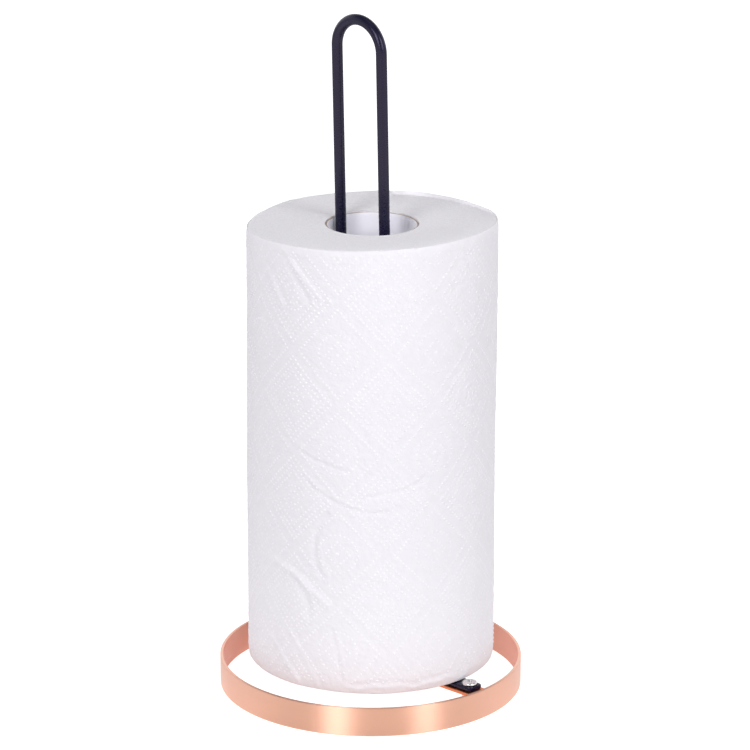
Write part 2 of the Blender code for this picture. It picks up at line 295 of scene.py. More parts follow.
# A colour that drifts a little lighter and darker over the surface
mottle_group, comes, goes = start_group(
    "mottle", [("Vector", "NodeSocketVector", None), ("Color", "NodeSocketColor", (1, 1, 1, 1)),
               ("Scale", "NodeSocketFloat", 60.0), ("Amount", "NodeSocketFloat", 0.05)],
    [("Color", "NodeSocketColor")])
drift = noise(mottle_group, comes["Vector"], comes["Scale"], 3.0)
centred = do_math(mottle_group, "MULTIPLY", do_math(mottle_group, "SUBTRACT", drift, 0.5), 4.0)
gain = do_math(mottle_group, "ADD", do_math(mottle_group, "MULTIPLY", centred, comes["Amount"]), 1.0)
scaled = add_node(mottle_group, "ShaderNodeVectorMath", {"operation": "SCALE"}, Scale=gain)
plug_in(mottle_group, scaled.inputs[0], comes["Color"])
plug_in(mottle_group, goes["Color"], scaled.outputs["Vector"])


def mottle(tree, place, colour, scale, amount):
    return use_group(tree, mottle_group, "Color", Vector=place, Color=colour, Scale=scale, Amount=amount)


def roughen(tree, shader, value, low, high):
    """Roughness that runs from low to high with a 0 to 1 value."""
    plug_in(tree, shader.inputs["Roughness"], map_range(tree, value, 0.3, 0.7, low, high))


def emboss(tree, shader, height, distance, strength=1.0, under=None):
    """Relief too fine for the mesh, laid over any relief that is already there."""
    bump = add_node(tree, "ShaderNodeBump", Height=height, Distance=distance, Strength=strength)
    if under is not None:
        plug_in(tree, bump.inputs["Normal"], under)
    plug_in(tree, shader.inputs["Normal"], bump.outputs["Normal"])
    return bump.outputs["Normal"]


def make_copper():
    """Satin copper plate, brushed round the hoop: light spreads across the brushing and not along it. The
    inner face is painted darker and redder, as painted shade.
    """
    material, tree, shader, place = start_material("satin_copper", 1.0, Anisotropic=0.975,
                                                   Anisotropic_Rotation=0.25)
    strokes = use_group(tree, brushed_group, "Value", Vector=place, Lines=COPPER_BRUSHING,
                        Stroke=BRUSH_STROKE)
    outside = map_range(tree, use_group(tree, round_group, "Radius", Vector=place),
                        ring_inner + 0.0001, ring_inner + 0.0004, 0.0, 1.0)
    # The inner face takes the painted shade colour.
    plate = mix_colours(tree, outside, COPPER_INSIDE_SHADE, COPPER)
    plug_in(tree, shader.inputs["Base Color"], mottle(tree, place, plate, 45.0, 0.02))
    roughen(tree, shader, strokes, *COPPER_ROUGHNESS)
    emboss(tree, shader, strokes, BRUSH_DEPTH)
    tangent = add_node(tree, "ShaderNodeTangent", {"direction_type": "RADIAL", "axis": "Z"})
    plug_in(tree, shader.inputs["Tangent"], tangent.outputs[0])
    return material


def everything(bm):
    return bm.verts[:] + bm.edges[:] + bm.faces[:]


def swing(bm, matrix):
    """Turn the whole mesh about Z."""
    bmesh.ops.rotate(bm, verts=bm.verts[:], cent=(0, 0, 0), matrix=matrix)


def bevel(bm, geom, offset, segments, affect="EDGES"):
    bmesh.ops.bevel(bm, geom=geom, offset=offset, segments=segments, profile=0.5, affect=affect, material=-1)


def outline(bm, corners, segments=4):
    """Loose edges round (radius, height, corner rounding) points, ready to be spun about Z."""
    verts = [bm.verts.new((x, 0.0, z)) for x, z, _ in corners]
    bm.faces.new(verts)
    for vert, (_, _, rounding) in zip(verts, corners):
        if rounding:
            bevel(bm, [vert], rounding, segments, "VERTICES")
    bmesh.ops.delete(bm, geom=bm.faces[:], context="FACES_ONLY")
    on_axis = [e for e in bm.edges if max(abs(v.co.x) for v in e.verts) < 1e-9]
    bmesh.ops.delete(bm, geom=on_axis, context="EDGES")


def add_rows(bm, radius, rows):
    """Cut the outline's long upright edge at a radius into rows."""
    upright = [e for e in bm.edges if all(abs(v.co.x - radius) < 1e-6 for v in e.verts)
               and e.calc_length() > 0.004]
    bmesh.ops.subdivide_edges(bm, edges=upright, cuts=rows - 1)


def spin(bm, geom, angle, steps, centre=(0, 0, 0), axis=(0, 0, 1), climb=(0, 0, 0), copies=False):
    """Sweep edges round an axis, or copy faces round it, and give back the last of them."""
    return bmesh.ops.spin(bm, geom=geom, cent=centre, axis=axis, dvec=climb, angle=angle, steps=steps,
                          use_merge=False, use_normal_flip=False, use_duplicate=copies)["geom_last"]


def close_up(bm):
    """Merge doubles and point the faces out."""
    bmesh.ops.remove_doubles(bm, verts=bm.verts[:], dist=1e-6)
    bmesh.ops.recalc_face_normals(bm, faces=bm.faces[:])


def spin_round(bm, steps, sectors=20):
    """Spin an outline through one sector, then copy the sector round."""
    spin(bm, bm.verts[:] + bm.edges[:], 2 * math.pi / sectors, steps // sectors)
    spin(bm, everything(bm), 2 * math.pi * (1 - 1 / sectors), sectors - 1, copies=True)
    close_up(bm)


def reshape(bm, rule):
    """Move every vertex by a rule on the whole array of positions."""
    moved = rule(np.array([v.co for v in bm.verts]))
    for vert, place in zip(bm.verts, moved):
        vert.co = place


def to_round(co):
    """Positions as (turn from the front towards +X, distance from Z, height)."""
    return np.arctan2(co[:, 0], -co[:, 1]), np.hypot(co[:, 0], co[:, 1]), co[:, 2].copy()


def from_round(turn, radius, height):
    return np.column_stack([radius * np.sin(turn), -radius * np.cos(turn), height])


def add_piece(name, bm, material, body, slot, *nodes, sharp=35):
    """Put a finished mesh in the scene: it rides on a body and stands for the CAD nodes named."""
    mesh = bpy.data.meshes.new(name)
    bm.to_mesh(mesh)
    bm.free()
    mesh.materials.append(material)
    mesh.shade_smooth()
    mesh.set_sharp_from_angle(angle=math.radians(sharp))
    piece = bpy.data.objects.new(name, mesh)
    bpy.context.collection.objects.link(piece)
    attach(piece, body)
    if nodes:
        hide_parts(*nodes)
    return piece


def weld_seam(co):
    """Press the ground joint's line into the strip, and raise the bead that is left inside."""
    turn, radius, height = to_round(co)
    off = (turn - RING_SEAM) * ring_radius
    line = SEAM_LINE_DEPTH * np.exp(-(off / SEAM_LINE_WIDTH) ** 2)
    bead = SEAM_BEAD_HEIGHT * np.exp(-(off / SEAM_BEAD_WIDTH) ** 2)
    inside = radius < (ring_inner + ring_radius) / 2
    radius += np.where(inside, -bead, -line)
    notch = SEAM_NOTCH * np.exp(-(off / SEAM_LINE_WIDTH) ** 2)
    height -= np.where((height > ring_top - RING_EDGE_ROUND - 1e-6) & inside, notch, 0)
    return from_round(turn, radius, height)


copper = make_copper()
bm = bmesh.new()
outline(bm, [(ring_inner, 0, RING_EDGE_ROUND), (ring_radius, 0, RING_EDGE_ROUND),
             (ring_radius, ring_top, RING_EDGE_ROUND), (ring_inner, ring_top, RING_EDGE_ROUND)])
add_rows(bm, ring_inner, RING_ROWS)
add_rows(bm, ring_radius, RING_ROWS)
swing(bm, Matrix.Rotation(RING_SEAM - math.pi / 2 - SEAM_ZONE / 2, 3, "Z"))
rest = spin(bm, bm.verts[:] + bm.edges[:], SEAM_ZONE, SEAM_STEPS)
spin(bm, rest, 2 * math.pi - SEAM_ZONE, RING_STEPS)
close_up(bm)
reshape(bm, weld_seam)
add_piece("ring", bm, copper, "holder", "ring_plate", "base_ring")


# --- Cross bar -----------------------------------------------------------------------------------
# A flat strip of the same steel laid across the hoop, just under its rim and drilled near both ends for
# the post's screws. A short weld under each end holds it to the hoop, plated over with the rest.

BAR_WIDTH = 0.012
BAR_EDGE_ROUND = 0.0003
BAR_END_GAP = 0.0003
HOLE_RADIUS = 0.0023
HOLE_STEPS = 40
# Painted shade: the bar and its welds are a darker, redder copper than the hoop, for the shade under the
# post's feet.
BAR_COPPER_SHADE = (0.78, 0.27, 0.13, 1)
BAR_ROUGHNESS = (0.34, 0.46)
WELD_RADIUS = 0.0013
WELD_TOE = 0.0022
WELD_BITE = 0.0004
RIPPLE = 0.00016
RIPPLE_PITCH = 0.0011

bar_low, bar_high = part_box("cross_bar")
screw_low, screw_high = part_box("foot_screw_front")
screw_middle = (screw_low + screw_high) / 2
screw_reach = math.hypot(screw_middle.x, screw_middle.y)
bar_angle = math.atan2(screw_middle.y, screw_middle.x)
bar_turn = Matrix.Rotation(bar_angle, 3, "Z")
bar_end = ring_inner - BAR_END_GAP


def verts_of(geom):
    return [g for g in geom if isinstance(g, bmesh.types.BMVert)]


def edges_of(geom):
    return [g for g in geom if isinstance(g, bmesh.types.BMEdge)]


def make_bar_copper():
    """The same plate over a strip that was brushed along its length, painted darker and redder than the hoop
    as painted shade.
    """
    material, tree, shader, place = start_material("bar_copper_in_shade", 1.0)
    lengthwise = add_node(tree, "ShaderNodeMapping", {"vector_type": "TEXTURE"}, Vector=place,
                          Rotation=(0, 0, bar_angle), Scale=(1.0, 0.012, 0.012)).outputs[0]
    strokes = noise(tree, lengthwise, 26.0, 3.0)
    # The painted shade colour, mottled.
    plug_in(tree, shader.inputs["Base Color"], mottle(tree, lengthwise, BAR_COPPER_SHADE, 18.0, 0.06))
    roughen(tree, shader, strokes, *BAR_ROUGHNESS)
    emboss(tree, shader, strokes, 0.00003, 0.6)
    return material


bar_copper_in_shade = make_bar_copper()
bm = bmesh.new()
bmesh.ops.create_circle(bm, cap_ends=True, segments=360, radius=bar_end)
for side in (1, -1):
    bmesh.ops.bisect_plane(bm, geom=everything(bm), plane_co=(0, side * BAR_WIDTH / 2, 0),
                           plane_no=(0, side, 0), clear_outer=True)
bmesh.ops.delete(bm, geom=bm.faces[:], context="FACES_ONLY")
for side in (1, -1):
    bmesh.ops.create_circle(bm, cap_ends=False, segments=HOLE_STEPS, radius=HOLE_RADIUS,
                            matrix=Matrix.Translation((side * screw_reach, 0, 0)))
bmesh.ops.triangle_fill(bm, use_beauty=True, edges=bm.edges[:])
bmesh.ops.dissolve_limit(bm, angle_limit=math.radians(1), verts=bm.verts[:], edges=bm.edges[:],
                         use_dissolve_boundaries=False)
raised = bmesh.ops.extrude_face_region(bm, geom=bm.faces[:])["geom"]
bmesh.ops.translate(bm, verts=verts_of(raised), vec=(0, 0, bar_high.z - bar_low.z))
bmesh.ops.recalc_face_normals(bm, faces=bm.faces[:])
bevel(bm, [e for e in bm.edges if e.calc_face_angle(0) > math.radians(60)], BAR_EDGE_ROUND, 3)
move(bm, (0, 0, bar_low.z))
swing(bm, bar_turn)
add_piece("bar", bm, bar_copper_in_shade, "holder", "bar_plate", "cross_bar")


def ripple(co):
    """The overlapping drops of a hand-laid bead."""
    turn, radius, height = to_round(co)
    wave = RIPPLE * np.cos(turn * ring_inner / RIPPLE_PITCH * 2 * math.pi)
    return from_round(turn, radius + wave * (radius < ring_inner - WELD_RADIUS / 2), height)


weld_swing = math.asin((BAR_WIDTH / 2 + WELD_BITE) / ring_inner)
weld_top = bar_low.z + WELD_BITE
for label, facing in (("front", 0.0), ("back", math.pi)):
    bm = bmesh.new()
    outline(bm, [(ring_inner + WELD_BITE / 2, bar_low.z - WELD_TOE, 0),
                 (ring_inner + WELD_BITE / 2, weld_top, 0), (ring_inner - WELD_TOE, weld_top, 0.0002),
                 (ring_inner - WELD_TOE * 0.8, bar_low.z - 0.0005, 0.0003),
                 (ring_inner - 0.0006, bar_low.z - WELD_TOE * 0.8, 0.0003)])
    swing(bm, Matrix.Rotation(bar_angle + facing - weld_swing, 3, "Z"))
    first_rim = bm.edges[:]
    last_rim = edges_of(spin(bm, bm.verts[:] + bm.edges[:], 2 * weld_swing, 60))
    for rim in (first_rim, last_rim):
        bmesh.ops.contextual_create(bm, geom=rim)
    close_up(bm)
    reshape(bm, ripple)
    add_piece("bar_weld_" + label, bm, bar_copper_in_shade, "holder", "bar_plate")


# --- Post ----------------------------------------------------------------------------------------
# One length of round steel wire bent to a hairpin. Both ends are turned outwards along the bar, pressed
# flat and drilled, and the whole of it is powder coated in satin black.

WIRE_RADIUS = 0.00285
LEG_SIDE = 0.01555
POST_LEAN = math.radians(1.2)
FOOT_BEND = 0.008
PADDLE_WIDTH = 0.0098
PADDLE_THICKNESS = 0.0024
PADDLE_EDGE = 0.0009
PADDLE_END = 0.0759
PADDLE_CORNER = 0.0022
FLARE_START = 0.0524
FLARE_LENGTH = 0.009
WIRE_SIDES = 32
BLACK = (0.0045, 0.0040, 0.0190, 1)
BLACK_ROUGHNESS = (0.24, 0.32)
ORANGE_PEEL = 900.0

post_low, post_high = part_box("post_loop")
foot_low = post_low.z
foot_middle = foot_low + WIRE_RADIUS


def make_powder_coat():
    """Satin powder coat with its fine orange peel and a few dull specks."""
    material, tree, shader, place = start_material("black_powder_coat", Specular_IOR_Level=0.36,
                                                   Specular_Tint=(0.80, 0.76, 1.0, 1))
    plug_in(tree, shader.inputs["Base Color"], mottle(tree, place, BLACK, 160.0, 0.10))
    peel = noise(tree, place, ORANGE_PEEL)
    roughen(tree, shader, peel, *BLACK_ROUGHNESS)
    emboss(tree, shader, peel, 0.00006, 0.5)
    return material


def run_on(bm, rim, offset, steps):
    """Carry a rim of edges on in a straight line."""
    for _ in range(steps):
        made = bmesh.ops.extrude_edge_only(bm, edges=rim)["geom"]
        bmesh.ops.translate(bm, verts=verts_of(made), vec=Vector(offset) / steps)
        rim = edges_of(made)
    return rim


def bend(bm, rim, centre, angle, steps):
    """Carry a rim of edges round an arc that lies in the XZ plane."""
    verts = list(dict.fromkeys(v for e in rim for v in e.verts))
    return edges_of(spin(bm, verts + rim, angle, steps, centre, (0, 1, 0)))


def smooth_step(t):
    t = np.clip(t, 0, 1)
    return t * t * (3 - 2 * t)


def press_feet(co):
    """Flatten the wire's ends between the press's jaws, wider and thinner towards the paddle."""
    reach = np.abs(co[:, 0])
    press = smooth_step((reach - FLARE_START) / FLARE_LENGTH)
    across, up = co[:, 1], co[:, 2] - foot_middle
    angle = np.arctan2(up, across)
    half_width = WIRE_RADIUS + (PADDLE_WIDTH / 2 - WIRE_RADIUS) * press
    half_height = WIRE_RADIUS + (PADDLE_THICKNESS / 2 - WIRE_RADIUS) * press
    edge = WIRE_RADIUS + (PADDLE_EDGE - WIRE_RADIUS) * press
    into_corner = np.clip(reach - (PADDLE_END - PADDLE_CORNER), 0, PADDLE_CORNER)
    half_width -= (PADDLE_CORNER - np.sqrt(PADDLE_CORNER ** 2 - into_corner ** 2)) * 0.9
    wide = np.copysign(half_width - edge, np.cos(angle)) + edge * np.cos(angle)
    high = foot_low + half_height + np.copysign(half_height - edge, np.sin(angle)) + edge * np.sin(angle)
    pressed = reach > FLARE_START - 1e-6
    return np.column_stack([co[:, 0], np.where(pressed, wide, across), np.where(pressed, high, co[:, 2])])


def lean(co):
    """Tip the legs a little to the left, as far as they stand above the feet."""
    co[:, 0] -= math.tan(POST_LEAN) * np.clip(co[:, 2] - foot_middle, 0, None)
    return co


def cut_from(piece, cutter_bm, operation="DIFFERENCE"):
    """Cut one shape out of a piece, or keep what both share, and keep the result as its mesh."""
    cutter = bpy.data.objects.new("cutter", bpy.data.meshes.new("cutter"))
    cutter_bm.to_mesh(cutter.data)
    cutter_bm.free()
    bpy.context.collection.objects.link(cutter)
    cut = piece.modifiers.new("cut", "BOOLEAN")
    cut.operation = operation
    cut.solver = "EXACT"
    cut.object = cutter
    depsgraph = bpy.context.evaluated_depsgraph_get()
    finished = bpy.data.meshes.new_from_object(piece.evaluated_get(depsgraph))
    piece.modifiers.clear()
    piece.data = finished
    bpy.data.objects.remove(cutter)


def at_screw(label, height):
    """The spot of the front or back screw at a height."""
    reach = screw_reach if label == "front" else -screw_reach
    return bar_turn @ Vector((reach, 0, height))


powder_coat = make_powder_coat()
arch_middle = post_high.z - WIRE_RADIUS - LEG_SIDE
bend_middle = foot_middle + FOOT_BEND
bm = bmesh.new()
bmesh.ops.create_circle(bm, cap_ends=False, segments=WIRE_SIDES, radius=WIRE_RADIUS,
                        matrix=Matrix.Translation((LEG_SIDE, 0, arch_middle))
                        @ Matrix.Rotation(math.pi / WIRE_SIDES, 4, "Z"))
first_rim = bm.edges[:]
far_rim = bend(bm, first_rim, (0, 0, arch_middle), -math.pi, 56)
for side, rim in ((1, first_rim), (-1, far_rim)):
    rim = run_on(bm, rim, (0, 0, bend_middle - arch_middle), 20)
    rim = bend(bm, rim, (side * (LEG_SIDE + FOOT_BEND), 0, bend_middle), -side * math.pi / 2, 16)
    for end, steps in ((FLARE_START, 6), (FLARE_START + FLARE_LENGTH, 18), (PADDLE_END - PADDLE_CORNER, 8),
                       (PADDLE_END, 12)):
        reach = max(side * v.co.x for e in rim for v in e.verts)
        rim = run_on(bm, rim, (side * (end - reach), 0, 0), steps)
    bmesh.ops.contextual_create(bm, geom=rim)
close_up(bm)
reshape(bm, press_feet)
tips = [e for e in bm.edges if all(abs(v.co.x) > PADDLE_END - 1e-6 for v in e.verts)]
bevel(bm, tips, 0.0005, 3)
swing(bm, bar_turn)
reshape(bm, lean)
post = add_piece("post", bm, powder_coat, "holder", "post_paint", "post_loop", sharp=50)
for label in ("front", "back"):
    drill = bmesh.new()
    bmesh.ops.create_cone(drill, cap_ends=True, segments=HOLE_STEPS, radius1=HOLE_RADIUS,
                          radius2=HOLE_RADIUS, depth=0.01)
    move(drill, at_screw(label, foot_low))
    cut_from(post, drill)


# --- Screws --------------------------------------------------------------------------------------
# Two zinc-plated machine screws with low pan heads and a cross recess. Each goes down through a foot
# of the post and the bar, and its thread shows for a turn or two under the nut.

SHANK_RADIUS = 0.002
HEAD_RADIUS = 0.004
HEAD_HEIGHT = 0.0014
HEAD_ROUND = 0.0007
HEAD_DOME = 0.0002
RECESS_SPAN = 0.0042
RECESS_WING = 0.0010
RECESS_DEPTH = 0.0011
THREAD_PITCH = 0.0007
THREAD_DEPTH = 0.00035
THREAD_TURNS = 5
THREAD_STEPS = 28
PLAIN_SHANK = 0.0038
RECESS_TURN = math.radians(20)
ZINC = (0.76, 0.75, 0.75, 1)
ZINC_ROUGHNESS = (0.22, 0.36)


def make_zinc():
    """Bright zinc plate with a faint cloudiness and dull spots."""
    material, tree, shader, place = start_material("zinc_plate", 1.0)
    plug_in(tree, shader.inputs["Base Color"], mottle(tree, place, ZINC, 420.0, 0.06))
    cloud = noise(tree, place, 900.0, 3.0)
    roughen(tree, shader, cloud, *ZINC_ROUGHNESS)
    emboss(tree, shader, cloud, 0.00002, 0.4)
    return material


zinc = make_zinc()
for label in ("front", "back"):
    low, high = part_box("foot_screw_" + label)
    seat = high.z - HEAD_HEIGHT
    root = SHANK_RADIUS - THREAD_DEPTH
    bm = bmesh.new()
    outline(bm, [(0, high.z, 0), (HEAD_RADIUS * 0.55, high.z - HEAD_DOME / 3, 0.0003),
                 (HEAD_RADIUS, high.z - HEAD_DOME, HEAD_ROUND), (HEAD_RADIUS, seat, 0.00015),
                 (SHANK_RADIUS, seat, 0), (SHANK_RADIUS, seat - PLAIN_SHANK, 0),
                 (root, seat - PLAIN_SHANK - 0.0004, 0), (root, low.z + 0.0004, 0),
                 (root - 0.0004, low.z, 0), (0, low.z, 0)])
    spin_round(bm, 56)
    thread = bmesh.new()
    sunk, start = root - 0.00005, low.z + 0.0003
    ridge = [thread.verts.new(place) for place in
             ((sunk, 0, start), (SHANK_RADIUS, 0, start + THREAD_PITCH * 0.42),
              (sunk, 0, start + THREAD_PITCH * 0.84))]
    thread.faces.new(ridge)
    bmesh.ops.delete(thread, geom=thread.faces[:], context="FACES_ONLY")
    first_rim = thread.edges[:]
    run = spin(thread, ridge + first_rim, THREAD_TURNS * 2 * math.pi, THREAD_TURNS * THREAD_STEPS,
               climb=(0, 0, THREAD_PITCH / THREAD_STEPS))
    for rim in (first_rim, edges_of(run)):
        bmesh.ops.contextual_create(thread, geom=rim)
    bmesh.ops.recalc_face_normals(thread, faces=thread.faces[:])
    thread_mesh = bpy.data.meshes.new("thread")
    thread.to_mesh(thread_mesh)
    thread.free()
    bm.from_mesh(thread_mesh)
    move(bm, at_screw(label, 0))
    screw = add_piece("screw_" + label, bm, zinc, "holder", "fastener_zinc", "foot_screw_" + label)
    for quarter in (0, 1):
        wing = bmesh.new()
        bmesh.ops.create_cube(wing, size=1)
        bmesh.ops.scale(wing, verts=wing.verts[:], vec=(RECESS_SPAN, RECESS_WING, 2 * RECESS_DEPTH))
        bmesh.ops.scale(wing, verts=[v for v in wing.verts if v.co.z < 0], vec=(0.45, 0.6, 1))
        swing(wing, Matrix.Rotation(bar_angle + RECESS_TURN + quarter * math.pi / 2, 3, "Z"))
        move(wing, at_screw(label, high.z))
        cut_from(screw, wing)


# --- Nuts ----------------------------------------------------------------------------------------
# A plain zinc-plated hexagon nut under the bar on each screw, its corners turned to a cone.

NUT_ACROSS_FLATS = 0.007
NUT_CHAMFER = 0.00055

corner = NUT_ACROSS_FLATS / math.sqrt(3)
flat = NUT_ACROSS_FLATS / 2 - 0.0002
past_corner = corner + 0.0001
for label in ("front", "back"):
    low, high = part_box("foot_nut_" + label)
    bm = bmesh.new()
    bmesh.ops.create_cone(bm, cap_ends=True, segments=6, radius1=corner, radius2=corner, depth=high.z - low.z)
    swing(bm, bar_turn)
    move(bm, at_screw(label, (high.z + low.z) / 2))
    nut = add_piece("nut_" + label, bm, zinc, "holder", "fastener_zinc", "foot_nut_" + label, sharp=25)
    cone = bmesh.new()
    outline(cone, [(HOLE_RADIUS, low.z + 0.0003, 0), (HOLE_RADIUS + 0.0003, low.z, 0), (flat, low.z, 0),
                   (past_corner, low.z + NUT_CHAMFER, 0), (past_corner, high.z - NUT_CHAMFER, 0),
                   (flat, high.z, 0), (HOLE_RADIUS + 0.0003, high.z, 0), (HOLE_RADIUS, high.z - 0.0003, 0)])
    spin_round(cone, 60)
    move(cone, at_screw(label, 0))
    cut_from(nut, cone, "INTERSECT")


# --- Core tube -----------------------------------------------------------------------------------
# A tube wound from two plies of card on the slant: pale paper inside, brown where the card is cut, with
# the winding's seam as a low spiral step on both faces.

CORE_WALL = 0.0008
CORE_EDGE = 0.00018
CORE_ROWS = 90
CORE_STEPS = 160
SEAM_PITCH = 0.078
SEAM_STEP = 0.00022
SEAM_SOFT = 0.0012
CARD_PALE = (0.95, 0.945, 0.995, 1)
CARD_BROWN = (0.46, 0.36, 0.29, 1)
CARD_ROUGHNESS = (0.78, 0.92)

core_low, core_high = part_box("core_tube")
core_outer = core_high.x
core_inner = core_outer - CORE_WALL

# Short fibres that lie every way, for paper and card
fibre_group, comes, goes = start_group(
    "fibres", [("Vector", "NodeSocketVector", None), ("Scale", "NodeSocketFloat", 900.0)],
    [("Value", "NodeSocketFloat")])
layers = []
for angle in (0.3, 1.4, 2.5):
    laid = add_node(fibre_group, "ShaderNodeMapping", {"vector_type": "POINT"}, Vector=comes["Vector"],
                    Rotation=(angle, angle * 1.7, angle * 0.6), Scale=(0.22, 1.0, 1.0)).outputs[0]
    layers.append(noise(fibre_group, laid, comes["Scale"], 2.0))
mixed = do_math(fibre_group, "MAXIMUM", do_math(fibre_group, "MAXIMUM", layers[0], layers[1]), layers[2])
plug_in(fibre_group, goes["Value"], mixed)


def make_card():
    """Card with a pale inner face, brown where it is cut and on its outer ply."""
    material, tree, shader, place = start_material("core_card", Specular_IOR_Level=0.25)
    rounds = add_node(tree, "ShaderNodeGroup", {"node_tree": round_group}, Vector=place).outputs
    fibres = use_group(tree, fibre_group, "Value", Vector=place, Scale=700.0)
    from_ends = do_math(tree, "MINIMUM", do_math(tree, "SUBTRACT", core_high.z, rounds["Height"]),
                        do_math(tree, "SUBTRACT", rounds["Height"], core_low.z))
    inside = map_range(tree, rounds["Radius"], core_inner + 0.00012, core_inner + 0.00022, 0.0, 1.0)
    cut_end = map_range(tree, from_ends, 0.0, 0.0003, 1.0, 0.0)
    brown = do_math(tree, "MAXIMUM", inside, cut_end)
    pale = mottle(tree, place, CARD_PALE, 140.0, 0.035)
    plug_in(tree, shader.inputs["Base Color"],
            mix_colours(tree, brown, pale, mottle(tree, place, CARD_BROWN, 300.0, 0.10)))
    roughen(tree, shader, fibres, *CARD_ROUGHNESS)
    emboss(tree, shader, fibres, 0.00008, 0.5)
    return material


def wind_core(co):
    """The slanting seam, where one turn of card laps the last."""
    turn, radius, height = to_round(co)
    turns = (height / SEAM_PITCH - turn / (2 * math.pi)) % 1.0
    off = np.minimum(turns, 1 - turns) * SEAM_PITCH
    step = SEAM_STEP * np.exp(-(off / SEAM_SOFT) ** 2)
    inside = radius < (core_inner + core_outer) / 2
    return from_round(turn, radius + np.where(inside, step, -step * 0.6), height)


card = make_card()
bm = bmesh.new()
outline(bm, [(core_inner, core_low.z, CORE_EDGE), (core_outer, core_low.z, CORE_EDGE),
             (core_outer, core_high.z, CORE_EDGE), (core_inner, core_high.z, CORE_EDGE)], segments=2)
add_rows(bm, core_inner, CORE_ROWS)
add_rows(bm, core_outer, CORE_ROWS)
spin_round(bm, CORE_STEPS)
reshape(bm, wind_core)
add_piece("core", bm, card, "core", "core_card", "core_tube", sharp=60)


# --- Roll: how it has settled --------------------------------------------------------------------
# Embossed two-ply kitchen paper wound tight on the core. Its outer turns have slipped a little: their feet
# hang lower than the core, and their heads stand higher, most at the front right, with two hollows.

OUTER_TURNS = 0.0009
DROOP = 0.0031
DROOP_FROM = 0.0545
DROOP_OVER = 0.009
DROOP_REACH = 0.030
RISE_MEAN, RISE_FRONT, RISE_SIDE = 0.0017, 0.0016, 0.0020
RISE_FROM = 0.026
RISE_OVER = 0.036
RISE_REACH = 0.060
TUCK = 0.0004
TUCK_HEIGHT = 0.0045
PAPER_ROUGHNESS = (0.86, 0.96)

roll_low, roll_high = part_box("paper_roll")
roll_radius = roll_high.x
roll_foot, roll_head = roll_low.z, roll_high.z
roll_middle = (roll_foot + roll_head) / 2
bore_radius = core_outer + 0.0003


# Dips in the head as (degrees from the front, how wide in degrees, depth)
HOLLOWS = ((118, 28, 0.0016), (-100, 24, 0.0016))


def settle(turn, radius, height):
    """Where a point of the roll has come to rest, from its place in a true cylinder."""
    outer = smooth_step((radius - RISE_FROM) / RISE_OVER)
    rim = smooth_step((radius - DROOP_FROM) / DROOP_OVER)
    near_head = smooth_step(1 - (roll_head - height) / RISE_REACH)
    near_foot = smooth_step(1 - (height - roll_foot) / DROOP_REACH)
    rise = RISE_MEAN + RISE_FRONT * np.cos(turn) + RISE_SIDE * np.sin(turn)
    for middle, width, depth in HOLLOWS:
        away = (turn - math.radians(middle) + math.pi) % (2 * math.pi) - math.pi
        rise = rise - depth * np.exp(-(away / math.radians(width)) ** 2)
    rise = rise * outer * near_head
    tuck = TUCK * np.clip(1 - (height - roll_foot) / TUCK_HEIGHT, 0, 1) ** 2 * rim
    return from_round(turn, radius - tuck, height + rise - DROOP * rim * near_foot)


def make_paper(name, colour, cloud_scale, cloud, crinkle):
    """Soft two-ply paper: loose fibres, cloudy formation, a crinkled face and no shine."""
    material, tree, shader, place = start_material(name, Specular_IOR_Level=0.15)
    fibres = use_group(tree, fibre_group, "Value", Vector=place, Scale=1500.0)
    plug_in(tree, shader.inputs["Base Color"], mottle(tree, place, colour, cloud_scale, cloud))
    roughen(tree, shader, fibres, *PAPER_ROUGHNESS)
    crumpled = emboss(tree, shader, noise(tree, place, 420.0, 3.0), crinkle)
    emboss(tree, shader, fibres, 0.00012, 0.6, crumpled)
    return material, tree, shader, place


# --- Outer sheet ---------------------------------------------------------------------------------
# The last turns of paper round the roll, creased by handling, with the loose end down the back and one
# row of perforations. Its foot is tucked under and folded out in front, its head is a little wavy.

SHEET_STEPS = 400
SHEET_ROWS = 218
SHEET_EDGE = 0.00025
SHEET_THICKNESS = 0.00038
PAPER = (0.898, 0.889, 0.903, 1)
TAIL = math.radians(112)
PERFORATION = math.radians(-108)
PERFORATION_WIDTH = 0.0007
PERFORATION_DEPTH = 0.00012
DASHES = 220.0
DASH_SHARE = 0.55
# Painted shade: how much darker the perforation's dashes are, for the shade in their slits.
DASH_SHADE = 0.28
TILE_HALF_HEIGHT = 0.02655
TILE_COUNT = 8
TILE_TURN = math.radians(-15.2)
TILE_HEIGHT = 0.0403
QUILTING = 0.00012
RIDGE = 0.00010
RIDGE_SHARE = 0.85
RIDGE_WIDTH = 0.0013
CREASE_REACH = 0.010
LIP_FROM, LIP_TO = math.radians(-14), math.radians(47)
LIP_HEIGHT = 0.0036
LIP_OUT = 0.0005
LIP_WIDTH = 0.0009
HEAD_WAVE = 0.00012
HEAD_REACH = 0.006
HEAD_PULLED_IN = 0.00035
PROUD = 0.0019
PROUD_FROM, PROUD_TO = math.radians(171.5), math.radians(80)
PROUD_START, PROUD_FADE = 0.02, 0.7

tile_half_width = math.pi * roll_radius / TILE_COUNT

# Slow waves in the sheet as (height, waves round the roll, how fast they climb, where they start)
WAVES = ((0.00016, 2, 0, 0.7), (0.00012, 3, 14, -1.1), (0.00010, 5, 31, 0), (0.00008, 9, -47, 2))

# Places where the head is pulled down, as (degrees from the front, width in radians, depth)
NICKS = ((2.5, 0.045, 0.0007), (19.5, 0.008, 0.0016))

